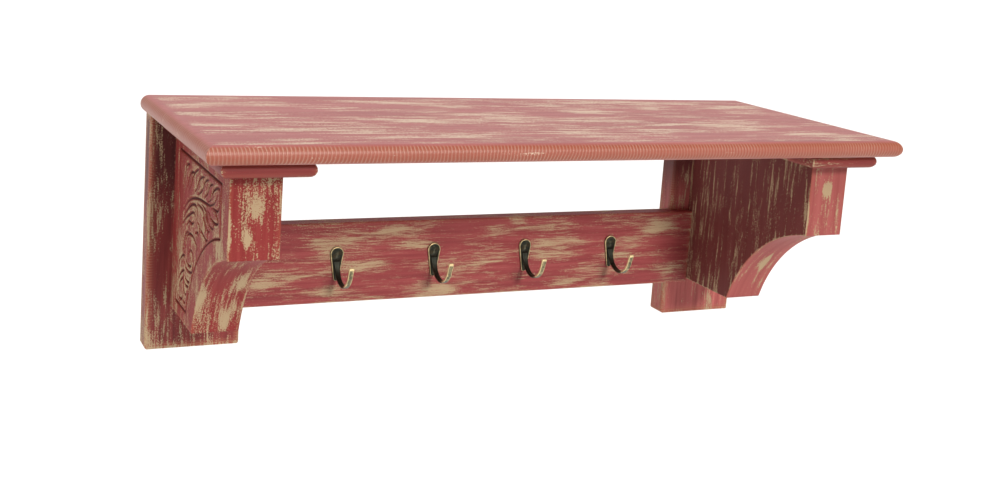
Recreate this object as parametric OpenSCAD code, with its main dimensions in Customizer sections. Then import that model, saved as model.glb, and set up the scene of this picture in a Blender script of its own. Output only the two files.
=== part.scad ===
// Wall shelf on two carved corbels, with a rail of single coat hooks.
// Millimetres, +Z up, +X to the right along the shelf, +Y into the wall.
// The origin is midway between the entry holes of the two wall hangers, on the wall plane,
// so every piece lies at y <= 0.

/* [Shelf board] */
// Length of the shelf board
board_l = 762; // [700:1:914]
// Depth of the shelf board from the wall
board_d = 305; // [295:1:340]
// Thickness of the shelf board
board_t = 18; // [16:1:25]
// Height of the top surface above the wall hangers
board_top = 70; // [66:1:90]

/* [Back boards] */
// Width of each upright back board
back_w = 102; // [95:1:115]
// Thickness of each back board
back_t = 25; // [22:1:30]
// Height of each back board
back_h = 253; // [245:1:280]
// How far the back boards' outer edges stand in from the ends of the shelf board
back_inset = 6.5; // [4:0.5:20]
// Radius worn on the back boards' edges
back_round = 3; // [1:0.5:4]

/* [Corbels] */
// Thickness of each corbel
corbel_w = 49; // [40:1:55]
// How far the corbel's nose stands out from the wall
corbel_d = 258; // [240:1:262]
// Height of each corbel
corbel_h = 191; // [180:1:200]
// Height of the upright face at the nose
nose_h = 81; // [70:1:90]
// How far the corbel's foot stands out from the wall
foot_d = 124; // [110:1:140]
// Radius of the cove under the nose
cove_r = 172; // [150:1:220]
// Distance of the carved border from the nose
border_front = 28; // [20:1:32]
// Distance of the carved border from the corbel's top
border_top = 15; // [8:0.5:18]
// Distance of the carved border from the cove and the foot
border_inset = 12; // [6:0.5:14]
// Distance of the carved border from the back board
border_back = 20; // [10:1:24]
// Width of the carved border's groove
border_w = 2.4; // [1.5:0.1:4]
// Depth of the carved border's groove
border_depth = 2; // [1:0.1:3]

/* [Caps] */
// Width of the cap board on each corbel
cap_w = 87; // [80:1:96]
// Thickness of each cap
cap_t = 15; // [12:1:18]
// How far the cap stands out from the wall
cap_d = 286; // [268:1:294]
// How far each cap sits towards the middle of the shelf
cap_shift = 4; // [0:0.5:6]

/* [Hook rail] */
// Height of the hook rail
rail_h = 92; // [80:1:100]
// Thickness of the hook rail
rail_t = 19; // [16:1:22]
// Gap between the shelf board and the rail
rail_drop = 118.5; // [100:0.5:130]
// How far the rail stands proud of the back boards
rail_proud = 10; // [4:0.5:12]
// Radius worn on the rail's front edges
rail_round = 2.5; // [1:0.5:4]

/* [Hooks] */
// Distance between hooks
hook_pitch = 117; // [90:1:140]
// How far the row of hooks sits to the right of centre
hook_shift = 7; // [-10:1:10]
// Drop from the rail's top edge to the top of a hook's plate
hook_drop = 27; // [20:1:35]
// Width of a hook's plate at the top
plate_w = 15.5; // [14:0.5:20]
// Height of a hook's plate
plate_h = 39; // [36:1:46]
// Thickness of a hook's plate
plate_t = 2.6; // [2:0.1:4]
// Width of a hook's prong
prong_w = 5.4; // [4:0.1:7]
// Thickness of a hook's prong
prong_t = 3.2; // [2.5:0.1:4]
// Radius of the prong's bend, to the middle of the bar
bend_r = 24; // [18:1:27]
// How far a hook's tip leans outwards, in degrees
tip_lean = 18; // [0:1:30]

/* [Hidden] */

$fn = 64;
past = 1;                       // how far a cutter runs past the face it opens
play = 0.1;                     // room round a screw's shank, on the radius
sides = [-1, 1];                // left, right

paint = "#a8524c";
tan_wood = "#b9986f";
bronze = "#6b5f45";
steel = "#9a9a98";

board_base = board_top - board_t;
cap_base = board_base - cap_t;
back_x = board_l / 2 - back_inset - back_w / 2;     // middle of the right back board
back_base = board_base - back_h;
corbel_base = cap_base - corbel_h;
nose_base = cap_base - nose_h;
cap_x = back_x - cap_shift;
rail_top = board_base - rail_drop;
rail_back = back_t + rail_proud - rail_t;           // gap between the rail and the wall
rail_end = back_x - corbel_w / 2;                   // the rail stops at the corbels
lap_depth = back_t - rail_back;                     // housing cut in the back board's face

// The cove is an arc from the bottom of the nose to the front of the foot.
nose_pt = [-corbel_d, nose_base];
foot_pt = [-foot_d, corbel_base];
chord = foot_pt - nose_pt;
cove_centre = (nose_pt + foot_pt) / 2
    + sqrt(cove_r * cove_r / (chord * chord) - 1 / 4) * [chord[1], -chord[0]];

// Wall hanger: a keyhole plate let in flush with the back board's wall face.
hanger_w = 16;
hanger_up = 31;                 // from the entry hole to the plate's top
hanger_down = 16;               // from the entry hole to the plate's bottom
hanger_t = 2;
entry_r = 4.75;
slot_w = 5;
slot_up = 13;                   // travel from the entry hole to the end of the slot
pocket_w = 12;
pocket_depth = 11;
hanger_screw_z = [-10.5, 25];

// Screws: head diameter, shank diameter, length
hook_screw = [4.2, 2.2, 14];
hanger_screw = [5.5, 2.6, 14];
corbel_screw = [9, 4.5, 60];
rail_screw = [7, 3.5, 28];
cap_screw = [8, 4, 40];
shelf_screw = [7, 3.5, 26];
corbel_screw_z = [-40, -120];
rail_screw_drop = [22, 70];
cap_screw_y = [-75, -205];
shelf_screw_x = rail_end - 12;  // in the cap's inner overhang, beside the corbel

dowel_d = 8;
dowel_l = 30;
dowel_in_board = 10;
dowel_x = 30;                   // each side of the back board's middle

// Hook: plate holes, counted from the plate's top, one low on the left and one high on the right
hook_screw_at = [[-3.6, -10.5], [3.6, -7]];
plate_top = rail_top - hook_drop;
plate_foot_r = 3;
bend_drop = 14.5;               // from the plate's top to the middle of the bend
root_turn = 6;                  // the prong leaves the plate this many degrees into the bend
tip_rise = 10;                  // straight length at the tip
bend_steps = 14;

function hook_x(i) = hook_shift + (i - 2.5) * hook_pitch;

// ---- shared shapes ----

// Extrudes a (y, z) outline from x = 0 to x = len.
module along_x(len) rotate([90, 0, 90]) linear_extrude(len) children();

// Extrudes an (x, z) outline from y = 0 to y = -len.
module out_from_wall(len) rotate([90, 0, 0]) linear_extrude(len) children();

// A board with its front and both ends fully rounded, so that the roundings meet in a mitre.
// Its back face is on y = 0 and its underside on z = 0.
module bullnose_board(len, depth, thick) {
    nose = thick / 2;
    intersection() {
        translate([-len / 2, 0, 0]) along_x(len) {
            translate([nose - depth, 0]) square([depth - nose, thick]);
            translate([nose - depth, nose]) circle(nose);
        }
        out_from_wall(depth) {
            translate([nose - len / 2, 0]) square([len - thick, thick]);
            for (s = sides) translate([s * (len / 2 - nose), nose]) circle(nose);
        }
    }
}

// A countersunk wood screw standing head up on z = 0. grow widens the shank to make its hole.
module screw_body(size, grow = 0) {
    head_r = size[0] / 2;
    shank_r = size[1] / 2 + grow;
    head_h = head_r - size[1] / 2;
    point_h = 1.5 * size[1];
    translate([0, 0, -head_h]) cylinder(h = head_h, r1 = size[1] / 2, r2 = head_r);
    translate([0, 0, point_h - size[2]]) cylinder(h = size[2] - point_h - head_h / 2, r = shank_r);
    translate([0, 0, -size[2] - grow]) cylinder(h = point_h + grow, r1 = 0.3, r2 = shank_r);
}

module wood_screw(size) {
    slot = size[0] / 2;
    difference() {
        screw_body(size);
        for (a = [0, 90]) rotate(a)
            translate([-slot / 2, -size[0] / 16, -size[0] / 6])
                cube([slot, size[0] / 8, size[0] / 6 + past]);
    }
}

module screw_hole(size) {
    screw_body(size, play);
    cylinder(h = past, r = size[0] / 2);
}

// A round-ended slot in (x, z), w wide, between two heights of its end centres.
module slot_2d(w, low, high) {
    for (z = [low, high]) translate([0, z]) circle(w / 2);
    translate([-w / 2, low]) square([w, high - low]);
}

// ---- where the fasteners go; each takes the screw or its hole as its child ----

module at_hook_screws()
    for (i = [1:4], p = hook_screw_at)
        translate([hook_x(i) + p[0], -back_t - rail_proud - plate_t, plate_top + p[1]])
            rotate([90, 0, 0]) children();

module at_hanger_screws()
    for (s = sides, z = hanger_screw_z)
        translate([s * back_x, 0, z]) rotate([-90, 0, 0]) children();

module at_corbel_screws()
    for (s = sides, z = corbel_screw_z)
        translate([s * back_x, 0, z]) rotate([-90, 0, 0]) children();

module at_rail_screws()
    for (s = sides, drop = rail_screw_drop)
        translate([s * (rail_end - 13), 0, rail_top - drop]) rotate([-90, 0, 0]) children();

module at_cap_screws()
    for (s = sides, y = cap_screw_y)
        translate([s * back_x, y, board_base]) children();

module at_shelf_screws()
    for (s = sides, y = cap_screw_y)
        translate([s * shelf_screw_x, y, cap_base]) rotate([180, 0, 0]) children();

module at_dowels()
    for (s = sides, d = sides)
        translate([s * back_x + d * dowel_x, -back_t / 2, board_base + dowel_in_board - dowel_l])
            children();

// ---- wooden pieces ----

module shelf_board() color(paint) difference() {
    translate([0, 0, board_base]) bullnose_board(board_l, board_d, board_t);
    at_shelf_screws() screw_hole(shelf_screw);
    at_dowels() cylinder(h = dowel_l, d = dowel_d);
}

module cap(side) color(paint) difference() {
    translate([side * cap_x, -back_t, cap_base]) bullnose_board(cap_w, cap_d - back_t, cap_t);
    at_cap_screws() screw_hole(cap_screw);
    at_shelf_screws() screw_hole(shelf_screw);
}

// Side view of the corbel.
module corbel_outline() difference() {
    translate([-corbel_d, corbel_base]) square([corbel_d - back_t, corbel_h]);
    translate(cove_centre) circle(cove_r, $fn = 180);
}

// Side view of the panel inside the carved border, drawn inset from its own edges.
module border_outline(inset = 0) difference() {
    translate([border_front - corbel_d + inset, corbel_base + border_inset + inset])
        square([
            corbel_d - back_t - border_front - border_back - 2 * inset,
            corbel_h - border_top - border_inset - 2 * inset
        ]);
    translate(cove_centre + [border_front, border_inset]) circle(cove_r + inset, $fn = 180);
}

module corbel(side) color(paint) difference() {
    translate([side * back_x - corbel_w / 2, 0, 0]) along_x(corbel_w) corbel_outline();
    translate([side * (back_x + corbel_w / 2) - border_depth, 0, 0])
        along_x(2 * border_depth) difference() {
            border_outline();
            border_outline(border_w);
        }
    at_corbel_screws() screw_hole(corbel_screw);
    at_cap_screws() screw_hole(cap_screw);
}

module back_board(side) color(paint) difference() {
    intersection() {
        // plan: both front edges rounded
        translate([side * back_x - back_w / 2, 0, back_base]) linear_extrude(back_h) {
            translate([0, back_round - back_t]) square([back_w, back_t - back_round]);
            translate([back_round, -back_t]) square([back_w - 2 * back_round, back_t]);
            for (x = [back_round, back_w - back_round])
                translate([x, back_round - back_t]) circle(back_round);
        }
        // front view: both bottom corners rounded
        translate([side * back_x - back_w / 2, 0, back_base]) out_from_wall(back_t) {
            translate([0, back_round]) square([back_w, back_h - back_round]);
            translate([back_round, 0]) square([back_w - 2 * back_round, back_h]);
            for (x = [back_round, back_w - back_round])
                translate([x, back_round]) circle(back_round);
        }
    }
    // housing that the end of the rail drops into
    translate([side > 0 ? back_x - back_w / 2 - past : -rail_end, -back_t - past, rail_top - rail_h])
        cube([rail_end - back_x + back_w / 2 + past, lap_depth + past, rail_h]);
    // recess for the hanger, with a pocket behind it for the head of the wall screw
    translate([side * back_x, past, 0]) {
        out_from_wall(hanger_t + past)
            slot_2d(hanger_w, hanger_w / 2 - hanger_down, hanger_up - hanger_w / 2);
        out_from_wall(pocket_depth + past) slot_2d(pocket_w, 0, slot_up);
    }
    at_hanger_screws() screw_hole(hanger_screw);
    at_corbel_screws() screw_hole(corbel_screw);
    at_rail_screws() screw_hole(rail_screw);
    at_dowels() cylinder(h = dowel_l, d = dowel_d);
}

module hook_rail() color(paint) difference() {
    translate([-rail_end, -rail_back, rail_top - rail_h]) along_x(2 * rail_end) {
        translate([rail_round - rail_t, 0]) square([rail_t - rail_round, rail_h]);
        translate([-rail_t, rail_round]) square([rail_t, rail_h - 2 * rail_round]);
        for (z = [rail_round, rail_h - rail_round])
            translate([rail_round - rail_t, z]) circle(rail_round);
    }
    at_rail_screws() screw_hole(rail_screw);
    at_hook_screws() screw_hole(hook_screw);
}

module shelf_dowels() color(tan_wood) at_dowels() cylinder(h = dowel_l, d = dowel_d);

// ---- hooks ----
// A hook is drawn with its plate's back on y = 0 and its plate's top on z = 0. Its side view
// is in (out, z), where out is the distance from the rail.

bend_centre = [plate_t + bend_r, -bend_drop];
root_angle = 180 + root_turn;
end_angle = 360 - tip_lean;

// Stands a shape drawn in (out, z, across) up as the hook's side view.
module side_view() rotate([0, 0, -90]) rotate([90, 0, 0]) children();

// Plate outline: a large round top tapering to a small round foot.
module plate_outline() hull() {
    translate([0, -plate_w / 2]) circle(plate_w / 2);
    translate([0, plate_foot_r - plate_h]) circle(plate_foot_r);
}

// The prong is a ring of points at each station along it, joined to the next.
// A station is its point, its direction and its share of the full section.
bend_end = bend_centre + bend_r * [cos(end_angle), sin(end_angle)];
tip_way = [sin(tip_lean), cos(tip_lean)];
tip_pt = bend_end + tip_rise * tip_way;
stations = concat(
    [for (i = [0:bend_steps]) let (a = root_angle + i * (end_angle - root_angle) / bend_steps)
        [bend_centre + bend_r * [cos(a), sin(a)], a + 90, i == 0 ? 0.6 : 1]],
    [
        [tip_pt, 90 - tip_lean, 1],
        [tip_pt + prong_w / 4 * tip_way, 90 - tip_lean, 0.85],
        [tip_pt + prong_w / 2.5 * tip_way, 90 - tip_lean, 0.5]
    ]
);

// Cross-section of the prong as [thickness, width] points, with its corners eased.
eased = prong_t / 3;
section = [for (c = [[1, 1], [-1, 1], [-1, -1], [1, -1]], first = [true, false])
    let (long = (c[0] * c[1] > 0) == first)
    [c[0] * (prong_t / 2 - (long ? 0 : eased)), c[1] * (prong_w / 2 - (long ? eased : 0))]];

module prong() side_view() {
    ring = len(section);
    last = len(stations) - 1;
    polyhedron(
        points = [for (st = stations, c = section)
            [st[0][0] - st[2] * c[0] * sin(st[1]), st[0][1] + st[2] * c[0] * cos(st[1]), st[2] * c[1]]],
        faces = concat(
            [[for (j = [0:ring - 1]) j]],
            [for (i = [0:last - 1], j = [0:ring - 1]) let (k = (j + 1) % ring)
                [i * ring + j, (i + 1) * ring + j, (i + 1) * ring + k, i * ring + k]],
            [[for (j = [ring - 1:-1:0]) last * ring + j]]
        )
    );
}

module hook(i) color(bronze) difference() {
    translate([hook_x(i), -back_t - rail_proud, plate_top]) {
        out_from_wall(plate_t) plate_outline();
        prong();
    }
    at_hook_screws() screw_hole(hook_screw);
}

// ---- hangers and fasteners ----

module hanger(side) color(steel) difference() {
    translate([side * back_x, 0, 0]) out_from_wall(hanger_t) difference() {
        slot_2d(hanger_w, hanger_w / 2 - hanger_down, hanger_up - hanger_w / 2);
        circle(entry_r);
        slot_2d(slot_w, 0, slot_up);
    }
    at_hanger_screws() screw_hole(hanger_screw);
}

module hook_screws() color(bronze) at_hook_screws() wood_screw(hook_screw);
module hanger_screws() color(steel) at_hanger_screws() wood_screw(hanger_screw);
module corbel_screws() color(steel) at_corbel_screws() wood_screw(corbel_screw);
module rail_screws() color(steel) at_rail_screws() wood_screw(rail_screw);
module cap_screws() color(steel) at_cap_screws() wood_screw(cap_screw);
module shelf_screws() color(steel) at_shelf_screws() wood_screw(shelf_screw);

shelf_board();
cap(-1);  // left_cap
cap(1);  // right_cap
corbel(-1);  // left_corbel
corbel(1);  // right_corbel
back_board(-1);  // left_back_board
back_board(1);  // right_back_board
hook_rail();
hook(1);  // hook_1
hook(2);  // hook_2
hook(3);  // hook_3
hook(4);  // hook_4
hook_screws();
hanger(-1);  // left_hanger
hanger(1);  // right_hanger
hanger_screws();
corbel_screws();
rail_screws();
cap_screws();
shelf_screws();
shelf_dowels();
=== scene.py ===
import math

import bmesh
import bpy
import numpy as np
from mathutils import Euler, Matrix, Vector
from mathutils.kdtree import KDTree


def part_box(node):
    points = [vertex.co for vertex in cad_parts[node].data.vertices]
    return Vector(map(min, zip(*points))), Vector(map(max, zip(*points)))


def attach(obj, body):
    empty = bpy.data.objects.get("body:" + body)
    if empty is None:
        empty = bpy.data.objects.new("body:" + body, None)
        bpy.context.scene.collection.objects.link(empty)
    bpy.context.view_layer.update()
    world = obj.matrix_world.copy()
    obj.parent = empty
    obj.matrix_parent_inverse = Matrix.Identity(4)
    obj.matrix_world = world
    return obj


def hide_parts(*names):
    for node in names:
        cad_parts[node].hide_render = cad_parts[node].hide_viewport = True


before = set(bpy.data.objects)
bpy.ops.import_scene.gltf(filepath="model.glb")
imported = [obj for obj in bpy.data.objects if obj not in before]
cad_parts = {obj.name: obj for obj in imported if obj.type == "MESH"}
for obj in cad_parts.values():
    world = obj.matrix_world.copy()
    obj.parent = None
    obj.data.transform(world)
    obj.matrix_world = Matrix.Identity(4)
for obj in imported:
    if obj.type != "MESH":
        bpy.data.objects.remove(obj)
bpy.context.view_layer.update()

mm = 0.001
scene = bpy.context.scene
print("frame loaded:", len(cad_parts), "nodes")


# The camera

cameraSettings = {
    "place": (-0.6360, -1.3996, 0.2716),           # metres
    "turn": (80.79, -4.07, -25.12),                # degrees
    "lens": 47.59,                                 # mm on a 36 mm sensor
    "shiftY": -0.1044,
}

cameraData = bpy.data.cameras.new("shelfCamera")
cameraData.sensor_width = 36
cameraData.lens = cameraSettings["lens"]
cameraData.shift_y = cameraSettings["shiftY"]
cameraData.clip_start = 0.05
cameraData.clip_end = 500
camera = bpy.data.objects.new("shelfCamera", cameraData)
camera.location = cameraSettings["place"]
camera.rotation_euler = Euler([math.radians(a) for a in cameraSettings["turn"]], "XYZ")
scene.collection.objects.link(camera)
scene.camera = camera
print("camera set")


# Shared helpers

def linear(hexColour):
    # sRGB hex to linear colour
    parts = [int(hexColour[i:i + 2], 16) / 255 for i in (1, 3, 5)]
    return (*[c / 12.92 if c <= 0.04045 else ((c + 0.055) / 1.055) ** 2.4 for c in parts], 1.0)


def add(tree, kind, inputs=None, out=0, stops=None, **settings):
    # adds one node; a socket in inputs is linked, anything else is set as a value
    node = tree.nodes.new("ShaderNode" + kind)
    for name, value in settings.items():
        setattr(node, name, value)
    for socket, value in (inputs or {}).items():
        if isinstance(value, bpy.types.NodeSocket):
            tree.links.new(value, node.inputs[socket])
        else:
            node.inputs[socket].default_value = value
    for i, (place, colour) in enumerate(stops or []):
        ramp = node.color_ramp.elements
        stop = ramp[i] if i < 2 else ramp.new(place)
        stop.position, stop.color = place, colour
    return node.outputs[out] if len(node.outputs) else node


def newMaterial(name):
    material = bpy.data.materials.new(name)
    material.use_nodes = True
    material.node_tree.nodes.clear()
    return material, material.node_tree


def finishMaterial(tree, sockets):
    # the Principled shader with these sockets, and the output
    shader = add(tree, "BsdfPrincipled", sockets)
    add(tree, "OutputMaterial", {0: shader})


def dress(piece, material):
    piece.data.materials.clear()
    piece.data.materials.append(material)


def newPiece(name, mesh, material, replaced):
    piece = bpy.data.objects.new(name, mesh)
    scene.collection.objects.link(piece)
    dress(piece, material)
    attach(piece, "root")
    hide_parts(replaced)
    return piece


# Distressed paint on pine

def boardEdges(tree, place, box):
    # how far a point lies from the nearest edge of a board, in mm: the middle one of its
    # distances from the board's three pairs of faces
    low, high = [Vector(c) / mm for c in box]
    fromMiddle = add(tree, "VectorMath", {0: place, 1: (low + high) / 2}, operation="SUBTRACT")
    inside = add(tree, "VectorMath", {0: fromMiddle}, operation="ABSOLUTE")
    depth = add(tree, "VectorMath", {0: (high - low) / 2, 1: inside}, operation="SUBTRACT")
    dx, dy, dz = add(tree, "SeparateXYZ", {0: depth}).node.outputs
    smaller = add(tree, "Math", {0: dx, 1: dy}, operation="MINIMUM")
    larger = add(tree, "Math", {0: dx, 1: dy}, operation="MAXIMUM")
    lowOfLarger = add(tree, "Math", {0: larger, 1: dz}, operation="MINIMUM")
    return add(tree, "Math", {0: smaller, 1: lowOfLarger}, operation="MAXIMUM")


def corbelEdges(tree, place, box):
    # the same for a corbel: on its two sides the distance from its outline, and on the
    # nose, cove and foot the distance from either side
    low, high = [Vector(c) / mm for c in box]
    x, y, z = add(tree, "SeparateXYZ", {0: place}).node.outputs
    fromNose = add(tree, "Math", {0: y, 1: low.y}, operation="SUBTRACT")
    fromFoot = add(tree, "Math", {0: z, 1: low.z}, operation="SUBTRACT")
    centre = (0, corbelShape["coveCentre"][0], corbelShape["coveCentre"][1])
    flat = add(tree, "CombineXYZ", {1: y, 2: z})
    fromCentre = add(tree, "VectorMath", {0: flat, 1: centre}, out=1, operation="DISTANCE")
    fromCove = add(tree, "Math", {0: fromCentre, 1: corbelShape["coveRadius"]}, operation="SUBTRACT")
    nearest = add(tree, "Math", {0: fromNose, 1: fromFoot}, operation="MINIMUM")
    nearest = add(tree, "Math", {0: nearest, 1: fromCove}, operation="MINIMUM")
    fromMiddle = add(tree, "Math", {0: x, 1: (low.x + high.x) / 2}, operation="SUBTRACT")
    across = add(tree, "Math", {0: fromMiddle}, operation="ABSOLUTE")
    fromSide = add(tree, "Math", {0: (high.x - low.x) / 2, 1: across}, operation="SUBTRACT")
    return add(tree, "Mix", {0: sideways(tree), 2: fromSide, 3: nearest}, data_type="FLOAT")


def sideways(tree):
    # 1 where the surface faces along the shelf, 0 elsewhere
    normal = add(tree, "NewGeometry", out="True Normal")
    nx = add(tree, "SeparateXYZ", {0: normal})
    facing = add(tree, "Math", {0: nx}, operation="ABSOLUTE")
    return add(tree, "Math", {0: facing, 1: 0.75}, operation="GREATER_THAN")


# What every painted piece shares. Lengths in mm. A piece's own dictionary changes some of it.
paintLook = {
    "deep": "#6C2425", "red": "#7E2E2E", "pale": "#8E3F3D",     # three depths of the brushed red
    "wood": "#AB9474", "woodDark": "#8C755B",                   # tan undercoat where the red is rubbed off
    "worn": "#96503A",                                          # thin orange-red along the edges
    "grain": "X",
    "strokeLong": 46, "strokeWide": 2.6,
    "patchLong": 120, "patchWide": 26,
    "speck": 1.2,                                               # size of the specks at a stroke's border
    "reveal": 0.565, "soft": 0.025,                             # where the tan starts to show
    "patchiness": 0.75, "speckiness": 0.62,                     # how much each noise decides on that
    "edgeWidth": 5, "edgeReveal": 0.10, "wornWidth": 12, "wornAmount": 0.5,
    "tickPitch": 0, "tickAmount": 0.0, "tickReach": 9, "tickAlong": "edge",
    "tickAtEnd": 0.6,                                           # coarser on the ends than on the front
    "tickWander": 16,                                           # radians that the lines stray from even
    "paintedShadeColour": "#3B1312", "paintedShadeAmount": 0,                        # painted shade up under the shelf
    "paintedShadeFrom": -70, "paintedShadeFull": 0,                             # heights between which it sets in
    "paintedShadeAtEdge": 1, "paintedShadeReveal": -0.09,
    "rubs": [],                                                 # rubbed places: middle and half size
    "roughness": (0.55, 0.75), "sheen": 0.3,
    "seed": 0,
}


def stretched(tree, look, place, long, wide):
    # texture space drawn out along the grain
    if look["grain"] == "profile":
        belt = (1 / wide, 1 / long, 1 / long)
        side = (1 / wide, 1 / wide, 1 / long)
        scale = add(tree, "Mix", {0: sideways(tree), 4: belt, 5: side}, out=1, data_type="VECTOR")
    else:
        scale = [1 / wide] * 3
        scale["XYZ".index(look["grain"])] = 1 / long
    return add(tree, "VectorMath", {0: place, 1: scale}, operation="MULTIPLY")


def paintedShadeHere(tree, look, place, nearEdge, carved):
    # painted shade: dark red on a corbel's side that faces the hooks,
    # and on the back boards close under the shelf, where the shelf shades them
    if carved:
        normal = add(tree, "NewGeometry", out="True Normal")
        turned = add(tree, "SeparateXYZ", {0: normal})
        return add(tree, "MapRange", {0: turned, 1: look["inward"] * 0.7, 2: look["inward"] * 0.9,
                                      3: 0, 4: look["paintedShadeAmount"]})
    level = add(tree, "SeparateXYZ", {0: place}, out=2)
    paintedShade = add(tree, "MapRange", {0: level, 1: look["paintedShadeFrom"], 2: look["paintedShadeFull"], 3: 0,
                                  4: look["paintedShadeAmount"]}, interpolation_type="SMOOTHSTEP")
    # near a board's edges the painted shade can be cleared, as on the left board
    clear = add(tree, "MapRange", {0: nearEdge, 1: 2, 2: 9, 3: look["paintedShadeAtEdge"], 4: 1})
    return add(tree, "Math", {0: paintedShade, 1: clear}, operation="MULTIPLY")


def rubbedMore(tree, look, place, amount):
    # wears the paint off round each listed place
    for spot, size in look["rubs"]:
        share = Vector([1 / length for length in size])
        gap = add(tree, "VectorMath", {0: place, 1: spot}, operation="SUBTRACT")
        gap = add(tree, "VectorMath", {0: gap, 1: share}, operation="MULTIPLY")
        gap = add(tree, "VectorMath", {0: gap}, out=1, operation="LENGTH")
        rub = add(tree, "MapRange", {0: gap, 1: 0, 2: 1.3, 3: look["rubAmount"], 4: 0},
                  interpolation_type="SMOOTHSTEP")
        amount = add(tree, "Math", {0: amount, 1: rub}, operation="ADD")
    return amount


def cutterMarks(tree, look, place, nearEdge, facing, patches, lit):
    # fine lines across the rounded edges, one light and one dark to a pitch
    x, y, z = add(tree, "SeparateXYZ", {0: place}).node.outputs
    if look["tickAlong"] == "Z":
        along = z
    else:
        atEnd = add(tree, "Math", {0: facing[0], 1: facing[1]}, operation="GREATER_THAN")
        depth = add(tree, "Math", {0: y, 1: look["tickAtEnd"]}, operation="MULTIPLY")
        along = add(tree, "Mix", {0: atEnd, 2: x, 3: depth}, data_type="FLOAT")
    turn = add(tree, "Math", {0: along, 1: 2 * math.pi / look["tickPitch"]}, operation="MULTIPLY")
    turn = add(tree, "Math", {0: patches, 1: look["tickWander"], 2: turn}, operation="MULTIPLY_ADD")
    wave = add(tree, "Math", {0: turn}, operation="SINE")
    line = add(tree, "MapRange", {0: wave, 1: -0.1, 2: 0.9, 3: 0, 4: 1}, interpolation_type="SMOOTHSTEP")
    onEdge = add(tree, "MapRange", {0: nearEdge, 1: 1, 2: look["tickReach"], 3: 1, 4: 0},
                 interpolation_type="SMOOTHSTEP")
    fading = add(tree, "MapRange", {0: patches, 1: 0.40, 2: 0.60, 3: 0.65, 4: 1},
                 interpolation_type="SMOOTHSTEP")
    for share in (onEdge, lit, fading):
        line = add(tree, "Math", {0: line, 1: share}, operation="MULTIPLY")
    return line


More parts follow.
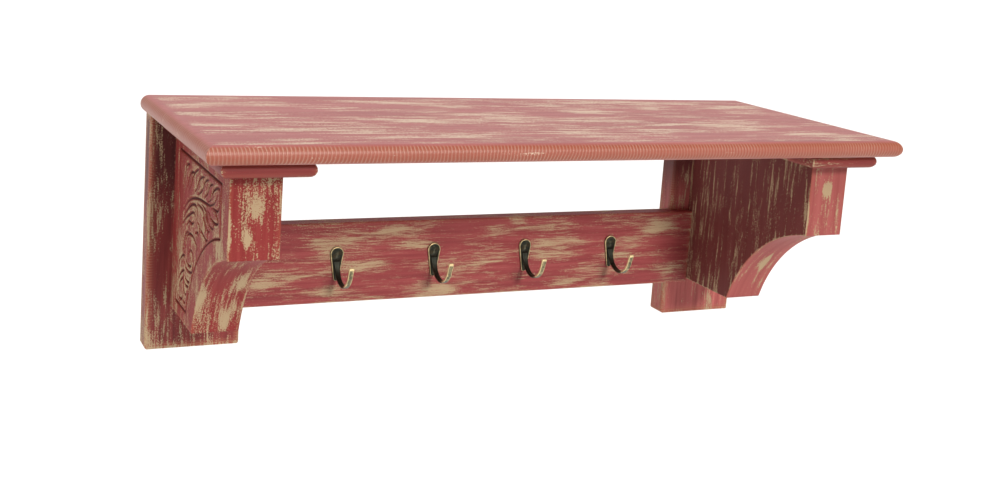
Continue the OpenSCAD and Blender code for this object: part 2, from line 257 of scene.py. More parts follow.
def brushedPaint(name, box, own, edges=boardEdges, carved=False):
    # Matt red emulsion dry-brushed over a tan undercoat on planed pine, then rubbed back:
    # broken strokes along the board, specks at their borders, and bare edges.
    look = {**paintLook, **own}
    material, tree = newMaterial(name)
    objectPlace = add(tree, "TexCoord", out="Object")
    place = add(tree, "VectorMath", {0: objectPlace, 3: 1 / mm}, operation="SCALE")
    offset = Vector((371, 173, 97)) * look["seed"]      # a fresh stretch of noise for each piece
    shifted = add(tree, "VectorMath", {0: place, 1: offset}, operation="ADD")

    strokePlace = stretched(tree, look, shifted, look["strokeLong"], look["strokeWide"])
    strokes = add(tree, "TexNoise", {"Vector": strokePlace, "Scale": 1, "Detail": 5,
                                     "Roughness": 0.64, "Distortion": 0.18})
    patchPlace = stretched(tree, look, shifted, look["patchLong"], look["patchWide"])
    patches = add(tree, "TexNoise", {"Vector": patchPlace, "Scale": 1, "Detail": 2.5,
                                     "Roughness": 0.5, "Distortion": 0.2})
    specks = add(tree, "TexNoise", {"Vector": shifted, "Scale": 1 / look["speck"],
                                    "Detail": 2, "Roughness": 0.7})
    # the red's own brush marks are longer and wider than the rubbed strokes
    sweepPlace = stretched(tree, look, shifted, look["strokeLong"] * 3.2, look["strokeWide"] * 1.7)
    sweeps = add(tree, "TexNoise", {"Vector": sweepPlace, "Scale": 1, "Detail": 4, "Roughness": 0.58})

    # where the tan shows
    nearEdge = edges(tree, place, box)
    bareEdge = add(tree, "MapRange", {0: nearEdge, 1: 0, 2: look["edgeWidth"], 3: 1, 4: 0},
                   interpolation_type="SMOOTHSTEP")
    paintedShade = paintedShadeHere(tree, look, place, nearEdge, carved)
    amount = strokes
    for source, share in ((patches, "patchiness"), (specks, "speckiness"), (bareEdge, "edgeReveal"),
                          (paintedShade, "paintedShadeReveal")):
        amount = add(tree, "Math", {0: source, 1: look[share], 2: amount}, operation="MULTIPLY_ADD")
    amount = rubbedMore(tree, look, place, amount)
    if carved:
        # ridges rub bare first, cuts never do
        ridge = add(tree, "Attribute", out="Fac", attribute_name="ridge")
        groove = add(tree, "Attribute", out="Fac", attribute_name="groove")
        amount = add(tree, "Math", {0: ridge, 1: look["ridgeReveal"], 2: amount}, operation="MULTIPLY_ADD")
        amount = add(tree, "Math", {0: groove, 1: -0.5, 2: amount}, operation="MULTIPLY_ADD")
    usual = 0.5 * (look["patchiness"] + look["speckiness"])     # what the noises add on average
    start = look["reveal"] + usual
    bare = add(tree, "MapRange", {0: amount, 1: start, 2: start + look["soft"], 3: 0, 4: 1},
               interpolation_type="SMOOTHSTEP")

    # colours of the red, from thin to thick paint, worn to orange near the upright edges
    red = add(tree, "ValToRGB", {0: sweeps}, stops=[
        (0.25, linear(look["deep"])), (0.80, linear(look["pale"])), (0.50, linear(look["red"]))])
    normal = add(tree, "NewGeometry", out="Normal")
    facing = add(tree, "VectorMath", {0: normal}, operation="ABSOLUTE")
    facing = add(tree, "SeparateXYZ", {0: facing}).node.outputs
    steep = add(tree, "MapRange", {0: facing[2], 1: 0.75, 2: 0.97, 3: 1, 4: 0})
    wornHere = add(tree, "MapRange", {0: nearEdge, 1: 0, 2: look["wornWidth"], 3: look["wornAmount"], 4: 0},
                   interpolation_type="SMOOTHSTEP")
    wornHere = add(tree, "Math", {0: wornHere, 1: steep}, operation="MULTIPLY")
    paint = add(tree, "Mix", {0: wornHere, 6: red, 7: linear(look["worn"])}, out=2, data_type="RGBA")
    # the painted shade mixed into the red
    paint = add(tree, "Mix", {0: paintedShade, 6: paint, 7: linear(look["paintedShadeColour"])}, out=2, data_type="RGBA")
    wood = add(tree, "Mix", {0: specks, 6: linear(look["woodDark"]), 7: linear(look["wood"])},
               out=2, data_type="RGBA")
    wood = add(tree, "Mix", {0: sweeps, 6: wood, 7: linear(look["wood"])}, out=2, data_type="RGBA")
    colour = add(tree, "Mix", {0: bare, 6: paint, 7: wood}, out=2, data_type="RGBA")
    height = add(tree, "Math", {0: bare, 1: -0.5, 2: strokes}, operation="MULTIPLY_ADD")

    if look["tickPitch"]:
        # the cutter marks fade out on upward faces and in the painted shade
        lit = add(tree, "Math", {0: paintedShade, 1: -1.4, 2: steep}, operation="MULTIPLY_ADD", use_clamp=True)
        ticks = cutterMarks(tree, look, place, nearEdge, facing, patches, lit)
        shade = add(tree, "Math", {0: ticks, 1: look["tickAmount"]}, operation="MULTIPLY")
        colour = add(tree, "Mix", {0: shade, 6: colour, 7: linear(look["wood"])}, out=2, data_type="RGBA")
        height = add(tree, "Math", {0: ticks, 1: -0.8, 2: height}, operation="MULTIPLY_ADD")
    if carved:
        # painted shade in the cuts: the grooves darken toward a deep red
        cutShade = add(tree, "MapRange", {0: groove, 1: 0.12, 2: 0.7, 3: 0, 4: 1})
        colour = add(tree, "Mix", {0: cutShade, 6: colour, 7: linear(look["cut"])}, out=2, data_type="RGBA")

    rough = add(tree, "MapRange", {0: amount, 1: start - 0.15, 2: start + 0.1,
                                   3: look["roughness"][0], 4: look["roughness"][1]})
    bump = add(tree, "Bump", {"Height": height, "Strength": 0.55, "Distance": 0.35 * mm})
    finishMaterial(tree, {"Base Color": colour, "Roughness": rough, "Normal": bump,
                          "Specular IOR Level": look["sheen"]})
    return material


# Boards

shelfBoardLook = {
    "seed": 1, "grain": "X", "deep": "#93504D", "red": "#A25A56", "pale": "#B5726D",
    "wood": "#CDB39D", "woodDark": "#B59981", "worn": "#8A432B",
    "strokeLong": 56, "strokeWide": 3.6, "patchLong": 110, "patchWide": 32,
    "reveal": 0.545, "soft": 0.05, "patchiness": 0.62, "speckiness": 0.5, "speck": 1.5,
    "edgeWidth": 16, "edgeReveal": -0.28, "wornWidth": 30, "wornAmount": 1.0,
    "tickPitch": 3.6, "tickAmount": 0.24, "tickReach": 22, "roughness": (0.42, 0.55), "sheen": 0.5,
}
capLook = {
    "grain": "X", "deep": "#611D1B", "red": "#742826", "pale": "#85352F", "reveal": 0.68,
    "edgeWidth": 4, "edgeReveal": 0.12, "wornWidth": 8, "wornAmount": 0.3,
}
backBoardLook = {
    "grain": "Z", "deep": "#5E2020", "red": "#762B29", "pale": "#8E3D38", "reveal": 0.575,
    "strokeLong": 26, "strokeWide": 2.2, "patchLong": 80, "patchWide": 24, "speckiness": 0.75,
    "edgeWidth": 4, "edgeReveal": 0.10, "wornWidth": 9, "wornAmount": 0.75,
    "tickPitch": 3.0, "tickAmount": 0.32, "tickAlong": "Z", "paintedShadeAmount": 0.7,
}
backBoardOwn = {
    "left": {"seed": 4, "paintedShadeAtEdge": 0},
    # the right board's reds are lighter: painted light, for the front light that reaches its lower part
    "right": {"seed": 5, "paintedShadeAmount": 0.85, "deep": "#853D3A", "red": "#A0504C", "pale": "#B05E59",
              "reveal": 0.63},
}
railLook = {
    "grain": "X", "seed": 7, "reveal": 0.62, "strokeLong": 30, "strokeWide": 2.1, "speck": 1.0,
    "deep": "#702829", "red": "#833334", "pale": "#954645",
    "rubAmount": 0.22, "rubs": [
        ((-100, -35, -75), (40, 30, 7)), ((-170, -35, -90), (45, 30, 8)), ((-130, -35, -118), (38, 30, 9)),
        ((-175, -35, -145), (35, 30, 7)), ((-75, -35, -97), (40, 30, 8)), ((25, -35, -118), (32, 30, 10)),
        ((-45, -35, -150), (28, 30, 8)), ((55, -35, -70), (14, 30, 8)), ((110, -35, -100), (40, 30, 7)),
        ((120, -35, -150), (30, 30, 6)), ((250, -35, -85), (32, 30, 11)), ((205, -35, -120), (30, 30, 6)),
        ((-255, -35, -135), (20, 30, 10)), ((270, -35, -140), (26, 30, 12)),
    ],
    "patchLong": 70, "patchWide": 17, "speckiness": 1.1, "patchiness": 0.8,
    "edgeWidth": 4, "edgeReveal": 0.06, "wornWidth": 5, "wornAmount": 0.3,
}

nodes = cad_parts
dress(nodes["shelf_board"], brushedPaint("paintedPineShelf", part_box("shelf_board"), shelfBoardLook))
for i, side in enumerate(("left", "right")):
    cap, back = f"{side}_cap", f"{side}_back_board"
    capPaint = brushedPaint(f"paintedPineCap_{side}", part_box(cap), {**capLook, "seed": 2 + i})
    own = {**backBoardLook, **backBoardOwn[side]}
    backPaint = brushedPaint(f"paintedPineUpright_{side}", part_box(back), own)
    dress(nodes[cap], capPaint)
    dress(nodes[back], backPaint)
dress(nodes["hook_rail"], brushedPaint("paintedPineRail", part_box("hook_rail"), railLook))
print("boards painted")


# Carved corbels

# (y, z) in mm, y from the wall, as in the CAD
corbelShape = {
    "coveRadius": 172, "noseHeight": 81, "footOut": 124, "edgeRound": 1.3, "step": 0.85,
    "borderFront": 28, "borderTop": 15, "borderLow": 12, "borderBack": 20,
    "borderWidth": 1.3,
    "cutWidth": 1.25, "cutDepth": 2.5, "pillowWidth": 4.6, "pillowDepth": 0.7,
    "ridgeAway": 2.6, "ridgeWidth": 1.0,            # the worn ridge beside a cut
}
corbelLook = {
    "grain": "profile", "deep": "#762726", "red": "#802F2D", "pale": "#8C3B38", "reveal": 0.61,
    # cut: the colour of the painted shade in the carved cuts
    "cut": "#470D0A", "ridgeReveal": 0.19, "sheen": 0.12, "strokeLong": 34, "strokeWide": 2.4,
    "patchLong": 50, "patchWide": 18, "patchiness": 0.8, "speckiness": 1.0, "paintedShadeAmount": 0.65,
    "edgeWidth": 3, "edgeReveal": 0.10, "wornWidth": 5, "wornAmount": 0.35,
}

corbelOwn = {
    "left_corbel": {"seed": 3, "rubAmount": 0.36, "rubs": [
        ((-321, -258, 1), (9, 20, 17)), ((-329, -258, -24), (6, 20, 12)),
        ((-345, -149, -110), (5, 25, 30)), ((-315, -129, -141), (5, 14, 18)),
        ((-309, -165, -91), (7, 20, 20)), ((-348, -228, -40), (6, 14, 18)),
    ]},
    "right_corbel": {"seed": 10, "strokeLong": 64, "strokeWide": 4.6, "patchiness": 0.45,
                     "speckiness": 0.6, "reveal": 0.65, "paintedShadeReveal": 0.085, "rubAmount": 0.4,
                     "deep": "#8A4441", "red": "#964F4B", "pale": "#A25B56",
                     "rubs": [((322, -258, 8), (8, 20, 12)), ((327, -154, -102), (8, 20, 18))]},
}


def boxInMm(name):
    # a part's low and high corners
    return [[c / mm for c in corner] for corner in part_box(name)]


# The cove is an arc from under the nose to the foot; its centre is in the air outside.
(_, noseY, footZ), (_, wallY, topZ) = boxInMm("left_corbel")
nosePoint = (noseY, topZ - corbelShape["noseHeight"])
footPoint = (-corbelShape["footOut"], footZ)
runY, runZ = footPoint[0] - nosePoint[0], footPoint[1] - nosePoint[1]
away = math.sqrt((corbelShape["coveRadius"] ** 2) / (runY ** 2 + runZ ** 2) - 0.25)
corbelShape["coveCentre"] = ((nosePoint[0] + footPoint[0]) / 2 + away * runZ,
                             (nosePoint[1] + footPoint[1]) / 2 - away * runY)

# The cuts of the leaf scroll, as a carver would draw them on the panel, in (y, z).
leafCuts = {
    "stem": [(-215, 8), (-208, 2.5), (-200, -3), (-190, -6.7), (-180, -9.6), (-165, -10.8), (-147, -12),
             (-130, -13.8), (-117, -16.3), (-102, -20), (-90, -25), (-80, -31), (-72, -37)],
    "petal1": [(-221, 14), (-212, 13.8), (-203, 11.3), (-195, 8), (-189, 3.3), (-186.5, -1.7),
               (-181.5, -4.6), (-175, -7)],
    "petal1Front": [(-221, 14), (-223.5, 8.3), (-222.5, 2.5), (-219, -3.3), (-213, -7.5), (-206.5, -9.2),
                    (-197, -9), (-191, -10)],
    "petal2": [(-194, 13.3), (-187, 12), (-180, 10), (-175.8, 5.8), (-173, 1.7), (-168, -1.7),
               (-161.5, -5.5)],
    "petal3": [(-176, 13.8), (-168, 12.5), (-161.7, 10.4), (-156.7, 6.7), (-153, 2.5), (-148, -1.7),
               (-140, -5.8), (-132, -9)],
    "petal4": [(-157.5, 13), (-148, 11.5), (-140, 9), (-134, 5), (-131, 1), (-126.7, -4), (-120, -8.5)],
    "petal5": [(-133, 16), (-125, 13.8), (-117, 10.4), (-109, 5), (-105, 0), (-101.5, -6), (-97, -11)],
    "petal6": [(-116.7, 8.6), (-106.7, 8), (-98, 6), (-92.5, 1.7), (-90, -3.3), (-87.5, -10)],
    "petal7": [(-94, 12.5), (-84, 12), (-76, 8.3), (-73, 1.7), (-71.5, -6), (-70, -14)],
    "leaf1": [(-203, -10.5), (-211, -13), (-217.5, -17), (-213, -20), (-205, -21.7), (-195, -21.7),
              (-188, -20), (-183, -17.5), (-175, -16)],
    "leaf2": [(-201, -22), (-200, -26.7), (-195, -29), (-187, -29.3), (-181, -27.5), (-178, -24),
              (-173, -20.8), (-167, -18), (-158, -16.3), (-149, -15.8)],
    "leaf3": [(-187, -30), (-185, -34), (-178, -35.4), (-173, -34), (-168, -30), (-163, -25.8),
              (-158, -21.7), (-151.7, -19.6), (-140, -19), (-130, -18.8)],
    "leaf4": [(-179, -36.5), (-178, -41.7), (-175, -45.2), (-170, -45.8), (-161.7, -44), (-155, -42.5),
              (-148, -40.5), (-146, -35.8)],
    "vein1": [(-176, -27), (-170, -23.5), (-165, -20.5)],
    "vein2": [(-170, -37), (-163, -31), (-158, -26)],
    "hook1": [(-131.5, -34), (-133, -28), (-130, -24), (-123, -22.3), (-113, -23.4), (-101.7, -26.7),
              (-91.7, -31.7), (-83, -37.5), (-74, -44.5)],
    "hook2": [(-126, -32.5), (-117, -31), (-106.7, -33.3), (-96.7, -37.5), (-86.7, -41.7), (-78, -46.7),
              (-71, -52)],
    "curl": [(-120, -39.5), (-113, -42.5), (-106.7, -44.8), (-98, -43.8), (-93, -46), (-88, -50)],
    "under1": [(-141, -48.5), (-133, -47.3), (-127, -49.5)],
    "under2": [(-137, -36), (-142, -40), (-147, -45)],
    "volute": [(-139, -63), (-131, -60), (-123.8, -57.3), (-116, -56), (-107.5, -56), (-98.8, -56.8),
               (-92.5, -59), (-88.5, -62.7), (-86, -68), (-86, -74)],
    "voluteBack": [(-95, -55), (-86, -58.5), (-80, -63.5), (-76.5, -70), (-77.5, -77), (-83, -82)],
    "spiral": [(-100, -80), (-102, -75), (-108, -71.6), (-115, -72.5), (-120, -78), (-120, -85),
               (-116, -91.5), (-108, -95), (-98.8, -95.8), (-90, -94.2), (-84, -90)],
    "eye": [(-111, -79), (-113, -83.5), (-110, -87.6), (-103, -89.5), (-96, -88.7), (-92, -85.5)],
    "sprig1": [(-84, -84), (-74, -85.2), (-67.5, -87.7), (-61, -92.7), (-59.5, -98)],
    "sprig2": [(-83, -99), (-77, -100.7), (-70, -103.5), (-63.5, -108), (-60, -113.5)],
    "sprig3": [(-107.5, -105), (-101, -106.9), (-93.5, -107.2), (-86, -104)],
    "sprig4": [(-103.5, -110.8), (-96, -112.8), (-88.5, -112.8), (-82, -109)],
    "sprig5": [(-80, -106), (-72.5, -110.5), (-65.5, -114.5), (-61.5, -120.5), (-60, -127)],
    "sprig6": [(-94, -121.5), (-88.5, -122.8), (-82, -119.5), (-78, -114)],
    "sprig7": [(-79, -126.5), (-74, -131.6), (-67.5, -133.6), (-62, -132.3)],
    "sprig8": [(-91, -131), (-85, -133), (-80, -130)],
}


def coveHeight(y, inset, centre):
    # height of the cove, or of the carved border along it, above a given y
    return centre[1] + math.sqrt(max((corbelShape["coveRadius"] + inset) ** 2 - (y - centre[0]) ** 2, 0))


def smoothLine(points, step):
    # a Catmull-Rom curve through the points, about one point every step mm
    pts = [np.array(p, float) for p in points]
    pts = [2 * pts[0] - pts[1]] + pts + [2 * pts[-1] - pts[-2]]
    out = []
    for a, b, c, d in zip(pts, pts[1:], pts[2:], pts[3:]):
        count = max(2, int(np.linalg.norm(c - b) / step))
        for t in np.arange(count) / count:
            out.append(0.5 * (2 * b + (c - a) * t + (2 * a - 5 * b + 4 * c - d) * t * t
                              + (3 * b - a - 3 * c + d) * t ** 3))
    out.append(pts[-2])
    return np.array(out)


def borderLoop():
    s = corbelShape
    half = s["borderWidth"]
    centre = (s["coveCentre"][0] + s["borderFront"], s["coveCentre"][1] + s["borderLow"])
    front, back = noseY + s["borderFront"] + half, wallY - s["borderBack"] - half
    top, low = topZ - s["borderTop"] - half, footZ + s["borderLow"] + half
    reach = s["coveRadius"] + half
    start = math.acos((front - centre[0]) / reach)
    end = math.asin((low - centre[1]) / reach)
    arc = [(centre[0] + reach * math.cos(a), centre[1] + reach * math.sin(a))
           for a in np.linspace(start, end, 90)]
    corners = [arc[-1], (back, low), (back, top), (front, top), arc[0]]
    sides = []
    for a, b in zip(corners, corners[1:]):
        count = int(math.dist(a, b) / 0.8)
        sides += [np.array(a) + (np.array(b) - np.array(a)) * t for t in np.arange(count) / count]
    return np.array([np.array(p) for p in arc] + sides)


def carve(ys, zs):
    # depth of the carving under the face, and how far a point is in a cut or on a ridge
    s = corbelShape
    spots = np.stack([ys, zs], 1)
    cut = np.zeros(len(spots))
    pillow = np.zeros(len(spots))
    ridge = np.zeros(len(spots))
    # each line, what it keeps of its width at its ends, and how far it rounds the face over
    lines = [(borderLoop(), 1.0, 0.2)]
    lines += [(smoothLine(points, 0.7), 0.0, 1.0) for points in leafCuts.values()]
    for line, keep, soft in lines:
        low, high = line.min(0) - 12, line.max(0) + 12
        near = np.where((spots > low).all(1) & (spots < high).all(1))[0]
        taper = np.sin(np.linspace(0.12, math.pi - 0.12, len(line))) ** 0.45
        taper = keep + (1 - keep) * taper
        # a few thousand spots at a time, so that the table of gaps stays small
        for chunk in np.array_split(near, max(1, len(near) // 4000)):
            gap = np.linalg.norm(spots[chunk][:, None] - line[None], axis=2)
            at = gap.argmin(1)
            r, size = gap[np.arange(len(chunk)), at], taper[at]
            groove = size * np.exp(-(r / (s["cutWidth"] * (0.6 + 0.4 * size))) ** 2)
            cut[chunk] = np.maximum(cut[chunk], groove)
            pillow[chunk] = np.maximum(pillow[chunk], soft * size * np.exp(-(r / s["pillowWidth"]) ** 2))
            rim = soft * size * np.exp(-((r - s["ridgeAway"]) / s["ridgeWidth"]) ** 2)
            ridge[chunk] = np.maximum(ridge[chunk], rim)
    depth = cut * s["cutDepth"] + pillow * s["pillowDepth"]
    return depth, cut, ridge * (1 - cut)


def outlineGrid(inset, columns, rows):
    # the corbel's side as columns from its lower edge to its top
    s = corbelShape
    front, back, top = noseY + inset, wallY, topZ - inset * 0.2      # the top is hardly eased
    ys = np.linspace(0, 1, columns) * (back - front) + front
    grid = []
    for y in ys:
        low = footZ + inset
        if y < footPoint[0] + inset:
            low = max(low, coveHeight(y, inset, s["coveCentre"]))
        grid.append(np.stack([np.full(rows, y), np.linspace(low, top, rows)], 1))
    return np.array(grid)


def ringOf(grid):
    # the grid's border, once round
    return np.concatenate([grid[:-1, 0], grid[-1, :-1], grid[:0:-1, -1], grid[0, :0:-1]])


def buildCorbel(name, side):
    s = corbelShape
    low, high = boxInMm(name)
    outer, inner = (low[0], high[0]) if side < 0 else (high[0], low[0])
    inward = 1 if side < 0 else -1
    columns = int((wallY - noseY) / s["step"])
    rows = int((topZ - footZ) / s["step"])
    r = s["edgeRound"]

    face = outlineGrid(r, columns, rows)
    flat = face.reshape(-1, 2)
    depth, cut, ridge = carve(flat[:, 0], flat[:, 1])
    verts = [(outer + inward * d, y, z) for (y, z), d in zip(flat, depth)]
    grooveAt, ridgeAt = list(cut), list(ridge)
    at = np.arange(columns * rows).reshape(columns, rows)
    faces = []
    for i in range(columns - 1):
        for j in range(rows - 1):
            quad = (at[i, j], at[i + 1, j], at[i + 1, j + 1], at[i, j + 1])
            faces.append(quad)

    # the belt round the nose, cove, foot and back, with both arrises eased
    width = abs(inner - outer)
    easing = [math.radians(a) for a in (30, 60, 90)]
    stations = [(r * (1 - math.cos(a)), r * (1 - math.sin(a))) for a in easing]
    stations += [(4, 0), (12, 0), (width / 2, 0), (width - 12, 0), (width - 4, 0)]
    stations += [(width - x, inset) for x, inset in reversed(stations[:3])] + [(width, r)]
    ring = list(ringOf(at))
    for depthIn, inset in stations:
        edge = ringOf(outlineGrid(inset, columns, rows))
        start = len(verts)
        verts += [(outer + inward * depthIn, y, z) for y, z in edge]
        grooveAt += [0.0] * len(edge)
        ridgeAt += [0.0] * len(edge)
        nextRing = list(range(start, start + len(edge)))
        for i in range(len(ring)):
            k = (i + 1) % len(ring)
            faces.append((ring[k], ring[i], nextRing[i], nextRing[k]))
        ring = nextRing
    faces.append(tuple(reversed(ring)))

    mesh = bpy.data.meshes.new(name + "Carved")
    mesh.from_pydata([(x * mm, y * mm, z * mm) for x, y, z in verts], [], faces)
    for label, values in (("groove", grooveAt), ("ridge", ridgeAt)):
        mesh.attributes.new(label, "FLOAT", "POINT").data.foreach_set("value", values)
    bm = bmesh.new()
    bm.from_mesh(mesh)
    bmesh.ops.recalc_face_normals(bm, faces=bm.faces)
    for f in bm.faces:
        f.smooth = len(f.verts) == 4
    bm.to_mesh(mesh)
    bm.free()
    own = {**corbelLook, **corbelOwn[name], "inward": inward}
    paint = brushedPaint(f"paintedPine_{name}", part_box(name), own, edges=corbelEdges, carved=True)
    return newPiece(name + "Carved", mesh, paint, name)


buildCorbel("left_corbel", -1)
buildCorbel("right_corbel", 1)
print("corbels carved")


# Hooks

# mm; (out, z) from the rail's face and the plate's top
hookShape = {
    "plateTopR": 7.75, "plateFootR": 3.0, "plateTall": 39, "edgeThick": 1.5, "rimThick": 2.5,
    "fieldThick": 2.25, "ridgeThick": 2.75,
    "bendR": 24, "bendOut": 26.6, "bendDown": -14.5, "rootTurn": 4, "lean": 18, "tipRise": 11.2,
    "prongWide": 5.4, "prongThick": 3.2, "channel": 0.5, "rootWide": 1.5,
}
brassLook = {"patina": "#23251D", "bronze": "#5C5743", "rubbed": "#E2CF9C", "roughness": (0.42, 0.5),
             "metal": 0.8}


def antiqueBrass():
    # Zinc die casting plated in antique brass: dark patina in the hollows, bright where
    # hands and coats rub the rim and the bend; along the prong's rising bar partly a painted highlight.
    material, tree = newMaterial("antiqueBrass")
    place = add(tree, "TexCoord", out="Object")
    cast = add(tree, "TexNoise", {"Vector": place, "Scale": 1 / (3.5 * mm), "Detail": 4, "Roughness": 0.6})
    grit = add(tree, "TexNoise", {"Vector": place, "Scale": 1 / (0.5 * mm), "Detail": 2})
    rub = add(tree, "Attribute", out="Fac", attribute_name="rub")
    amount = add(tree, "Math", {0: cast, 1: 0.7, 2: rub}, operation="MULTIPLY_ADD")
    colour = add(tree, "ValToRGB", {0: amount}, stops=[
        (0.3, linear(brassLook["patina"])), (1.0, linear(brassLook["rubbed"])),
        (0.66, linear(brassLook["bronze"]))])
    rough = add(tree, "MapRange", {0: amount, 1: 0.2, 2: 1.1, 3: brassLook["roughness"][1],
                                   4: brassLook["roughness"][0]})
    bump = add(tree, "Bump", {"Height": grit, "Strength": 0.25, "Distance": 0.08 * mm})
    finishMaterial(tree, {"Base Color": colour, "Metallic": brassLook["metal"], "Roughness": rough,
                          "Normal": bump})
    return material


def closeSkin(bm, rings):
    # faces between each ring and the next, and one over either end
    for a, b in zip(rings, rings[1:]):
        for i in range(len(a)):
            k = (i + 1) % len(a)
            bm.faces.new((a[i], a[k], b[k], b[i]))
    bm.faces.new(rings[0][::-1])
    bm.faces.new(rings[-1])


def plateShell(bm, rub, x, face, top):
    s = hookShape
    count = 72
    head, foot = (0, -s["plateTopR"]), (0, s["plateFootR"] - s["plateTall"])
    drop = head[1] - foot[1]
    lean = math.asin((s["plateTopR"] - s["plateFootR"]) / drop)
    outline, spine = [], []
    for i in range(count):
        a = 2 * math.pi * i / count
        up = math.sin(a) > -math.sin(lean)
        centre, radius = (head, s["plateTopR"]) if up else (foot, s["plateFootR"])
        outline.append((centre[0] + radius * math.cos(a), centre[1] + radius * math.sin(a)))
        spine.append(centre)
    # share out, thickness, rub: back edge, side, rim, field, ridge
    rings = [(0.0, 0.0, 0.1), (0.0, s["edgeThick"], 0.45), (0.04, s["rimThick"] - 0.2, 0.6),
             (0.09, s["rimThick"], 0.6), (0.15, s["rimThick"] - 0.12, 0.25), (0.21, s["fieldThick"], 0.0),
             (0.5, s["fieldThick"] + 0.08, -0.05), (0.8, s["ridgeThick"] - 0.12, 0.0),
             (0.95, s["ridgeThick"], 0.15)]
    made = []
    for share, thick, shine in rings:
        ring = []
        for (px, pz), (cx, cz) in zip(outline, spine):
            v = bm.verts.new(((x + px + (cx - px) * share) * mm, (face - thick) * mm,
                              (top + pz + (cz - pz) * share) * mm))
            v[rub] = shine
            ring.append(v)
        made.append(ring)
    closeSkin(bm, made)


def prongShell(bm, rub, x, face, top):
    s = hookShape
    centre = Vector((s["bendOut"], s["bendDown"]))
    first, last = math.radians(180 + s["rootTurn"]), math.radians(360 - s["lean"])
    path = []
    bendSteps = 48
    for i in range(bendSteps + 1):
        t = i / bendSteps
        a = first + t * (last - first)
        # the root is wide and thin where it grows out of the plate's ridge
        root = max(0, 1 - t / 0.28)
        path.append((centre + s["bendR"] * Vector((math.cos(a), math.sin(a))), a + math.pi / 2,
                     1 + (s["rootWide"] - 1) * root ** 1.5, 1 - 0.45 * root ** 2))
    heading = last + math.pi / 2
    onward = Vector((math.cos(heading), math.sin(heading)))
    end = path[-1][0]
    for share in (0.15, 0.3, 0.45, 0.6, 0.75, 0.88):
        path.append((end + onward * (s["tipRise"] * share), heading, 1 + 0.06 * share, 1.0))
    for share, wide, thick in ((0.94, 1.0, 0.92), (0.98, 0.88, 0.75), (1.0, 0.66, 0.45)):
        path.append((end + onward * (s["tipRise"] * share), heading, wide * 1.06, thick))
    count = 28
    made = []
    for step, (point, heading, wide, thick) in enumerate(path):
        across = Vector((-math.sin(heading), math.cos(heading)))
        along = step / (len(path) - 1)
        ring = []
        for i in range(count):
            a = 2 * math.pi * i / count
            # a rounded oblong, hollowed a little along both broad faces
            cw = math.copysign(abs(math.cos(a)) ** 0.55, math.cos(a))
            ct = math.copysign(abs(math.sin(a)) ** 0.55, math.sin(a))
            hollow = 1 - s["channel"] * 0.5 * math.exp(-(cw / 0.55) ** 2) * (1 if abs(ct) > 0.5 else 0)
            w = cw * wide * s["prongWide"] / 2
            t = ct * thick * hollow * s["prongThick"] / 2
            p = point + across * t
            v = bm.verts.new(((x + w) * mm, (face - p.x) * mm, (top + p.y) * mm))
            # dark patina where it grows out of the plate; lighter along the rising bar and its rims: partly
            # rubbed brass, partly a painted highlight
            risen = min(1, max(0, (along - 0.5) / 0.2))
            rooted = max(0, 1 - along / 0.45)
            v[rub] = (abs(cw) ** 6 * (0.1 + 0.45 * risen) + 0.36 * risen - 0.22 * rooted
                      + (0.35 if along > 0.93 else 0))
            ring.append(v)
        made.append(ring)
    closeSkin(bm, made)


def joined(first, second, name):
    # one closed skin from the plate and the prong
    # the union drops the rub values, so each point takes them from the nearest old one
    spots = [(v.co.copy(), value.value) for half in (first, second)
             for v, value in zip(half.data.vertices, half.data.attributes["rub"].data)]
    lookup = KDTree(len(spots))
    for i, (place, _) in enumerate(spots):
        lookup.insert(place, i)
    lookup.balance()
    union = first.modifiers.new("join", "BOOLEAN")
    union.operation, union.object, union.solver = "UNION", second, "EXACT"
    mesh = bpy.data.meshes.new_from_object(first.evaluated_get(bpy.context.evaluated_depsgraph_get()))
    mesh.name = name
    rubbed = mesh.attributes.get("rub") or mesh.attributes.new("rub", "FLOAT", "POINT")
    rubbed.data.foreach_set("value", [spots[lookup.find(v.co)[1]][1] for v in mesh.vertices])
    bpy.data.objects.remove(first)
    bpy.data.objects.remove(second)
    return mesh


def buildHook(name, material):
    low, high = boxInMm(name)
    x, face, top = (low[0] + high[0]) / 2, high[1], high[2]
    halves = []
    for shell in (plateShell, prongShell):
        bm = bmesh.new()
        rub = bm.verts.layers.float.new("rub")
        shell(bm, rub, x, face, top)
        bmesh.ops.recalc_face_normals(bm, faces=bm.faces)
        mesh = bpy.data.meshes.new("half")
        bm.to_mesh(mesh)
        bm.free()
        half = bpy.data.objects.new("half", mesh)
        scene.collection.objects.link(half)
        halves.append(half)
    bpy.context.view_layer.update()
    mesh = joined(*halves, name + "Cast")
    for f in mesh.polygons:
        f.use_smooth = True
    return newPiece(name + "Cast", mesh, material, name)


brass = antiqueBrass()
for i in range(1, 5):
    buildHook(f"hook_{i}", brass)
print("hooks cast")


# Screws, hangers and dowels

# Plated colours from dark to light, roughness of the smooth and the dull, and the mm that
# one mark takes across, along and down.
fastenerLook = {
    "bronzedScrewSteel": {"dark": "#1F1C17", "light": "#4C4231", "smooth": 0.4, "dull": 0.6,
                          "mark": (0.4, 6, 1.5)},
    "zincPlatedSteel": {"dark": "#8C8F92", "light": "#C4C6C7", "smooth": 0.28, "dull": 0.45,
                        "mark": (0.5, 6, 1.5)},
    "beechDowel": {"dark": "#B98F68", "light": "#D9B894", "mark": (0.7, 0.7, 7)},
}


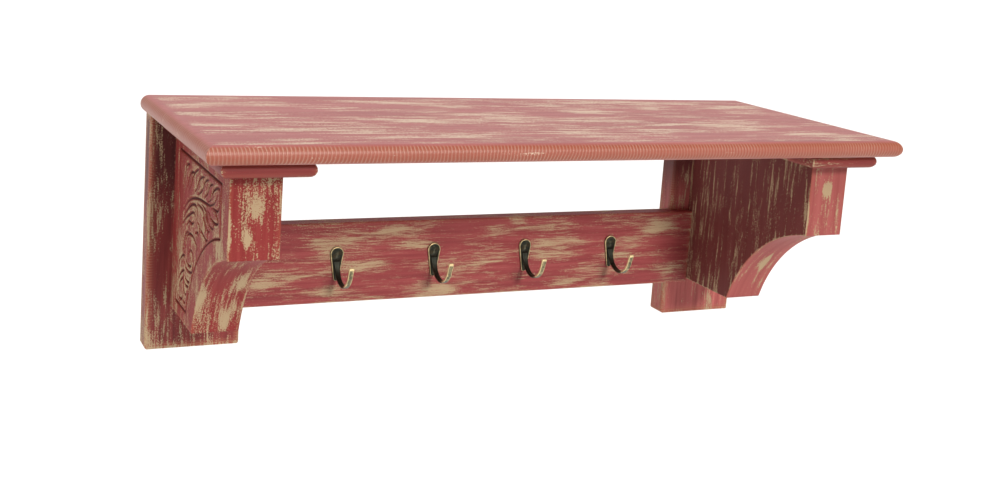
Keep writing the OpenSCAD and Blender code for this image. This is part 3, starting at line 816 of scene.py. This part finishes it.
def platedSteel(name):
    # Plated steel wire, cold headed: fine turning lines round the head and a dull sheen.
    look = fastenerLook[name]
    material, tree = newMaterial(name)
    place = add(tree, "TexCoord", out="Object")
    drawnOut = add(tree, "VectorMath", {0: place, 1: [1 / (size * mm) for size in look["mark"]]},
                   operation="MULTIPLY")
    marks = add(tree, "TexNoise", {"Vector": drawnOut, "Scale": 1, "Detail": 3, "Roughness": 0.65})
    colour = add(tree, "Mix", {0: marks, 6: linear(look["dark"]), 7: linear(look["light"])},
                 out=2, data_type="RGBA")
    rough = add(tree, "MapRange", {0: marks, 1: 0.3, 2: 0.7, 3: look["smooth"], 4: look["dull"]})
    bump = add(tree, "Bump", {"Height": marks, "Strength": 0.3, "Distance": 0.05 * mm})
    finishMaterial(tree, {"Base Color": colour, "Metallic": 1.0, "Roughness": rough, "Normal": bump})
    return material


def beechDowel():
    # Fluted beech dowel: pale pinkish wood, short flecks along its length.
    look = fastenerLook["beechDowel"]
    material, tree = newMaterial("beechDowel")
    place = add(tree, "TexCoord", out="Object")
    drawnOut = add(tree, "VectorMath", {0: place, 1: [1 / (size * mm) for size in look["mark"]]},
                   operation="MULTIPLY")
    flecks = add(tree, "TexNoise", {"Vector": drawnOut, "Scale": 1, "Detail": 3, "Roughness": 0.6})
    colour = add(tree, "Mix", {0: flecks, 6: linear(look["dark"]), 7: linear(look["light"])},
                 out=2, data_type="RGBA")
    bump = add(tree, "Bump", {"Height": flecks, "Strength": 0.4, "Distance": 0.1 * mm})
    finishMaterial(tree, {"Base Color": colour, "Roughness": 0.7, "Normal": bump})
    return material


dress(nodes["hook_screws"], platedSteel("bronzedScrewSteel"))
zincSteel = platedSteel("zincPlatedSteel")
for name in ("left_hanger", "right_hanger", "hanger_screws", "corbel_screws", "rail_screws",
             "cap_screws", "shelf_screws"):
    dress(nodes[name], zincSteel)
dress(nodes["shelf_dowels"], beechDowel())
print("fasteners finished")


# Floor and light

# Suns give the same light all over the floor; "from" is the way round and the height that
# the light comes from, in degrees, 0 straight in front of the shelf and minus to its left.
studio = {
    "floorDrop": 1100,                                   # mm under the back boards
    "floorHalf": 150,                                    # metres
    "paperDark": "#EEEDEC", "paperLight": "#F8F8F7",
    "skyFront": 0.12, "skyBack": 0.66,
    "topSun": {"from": (-25, 68), "spread": 55, "power": 2.0, "colour": "#FFFFFF"},
    "frontSun": {"from": (10, 25), "spread": 13, "power": 2.4, "colour": "#FFF9F5"},
    "leftSun": {"from": (-82, 20), "spread": 30, "power": 0.9, "colour": "#FFF9F4"},
}


def whitePaper():
    # Matt white lining paper, faintly mottled.
    material, tree = newMaterial("whitePaperFloor")
    place = add(tree, "TexCoord", out="Object")
    mottle = add(tree, "TexNoise", {"Vector": place, "Scale": 90, "Detail": 3})
    colour = add(tree, "Mix", {0: mottle, 6: linear(studio["paperDark"]), 7: linear(studio["paperLight"])},
                 out=2, data_type="RGBA")
    bump = add(tree, "Bump", {"Height": mottle, "Strength": 0.15, "Distance": 1 * mm})
    finishMaterial(tree, {"Base Color": colour, "Roughness": 0.9, "Normal": bump})
    return material


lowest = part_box("left_back_board")[0][2] - studio["floorDrop"] * mm
half = studio["floorHalf"]
floorMesh = bpy.data.meshes.new("paperFloor")
floorMesh.from_pydata([(-half, -half, lowest), (half, -half, lowest), (half, half, lowest),
                       (-half, half, lowest)], [], [(0, 1, 2, 3)])
floor = bpy.data.objects.new("paperFloor", floorMesh)
scene.collection.objects.link(floor)
dress(floor, whitePaper())

for label in ("topSun", "frontSun", "leftSun"):
    spec = studio[label]
    around, up = [math.radians(a) for a in spec["from"]]
    lamp = bpy.data.lights.new(label, "SUN")
    lamp.energy = spec["power"]
    lamp.angle = math.radians(spec["spread"])
    lamp.color = linear(spec["colour"])[:3]
    sun = bpy.data.objects.new(label, lamp)
    towards = Vector((math.sin(around) * math.cos(up), -math.cos(around) * math.cos(up), math.sin(up)))
    sun.rotation_euler = towards.to_track_quat("Z", "Y").to_euler()
    scene.collection.objects.link(sun)

# the sky is bright behind the shelf, where a white wall would be, and dim in front
world = bpy.data.worlds.new("studioSky")
world.use_nodes = True
sky = world.node_tree
way = add(sky, "TexCoord", out="Generated")
behind = add(sky, "SeparateXYZ", {0: way}, out=1)
strength = add(sky, "MapRange", {0: behind, 1: -0.2, 2: 0.6, 3: studio["skyFront"], 4: studio["skyBack"]},
               interpolation_type="SMOOTHSTEP")
sky.links.new(strength, sky.nodes["Background"].inputs["Strength"])
sky.nodes["Background"].inputs["Color"].default_value = (1, 1, 1, 1)
scene.world = world
scene.view_settings.view_transform = "Standard"
print("floor and light set")
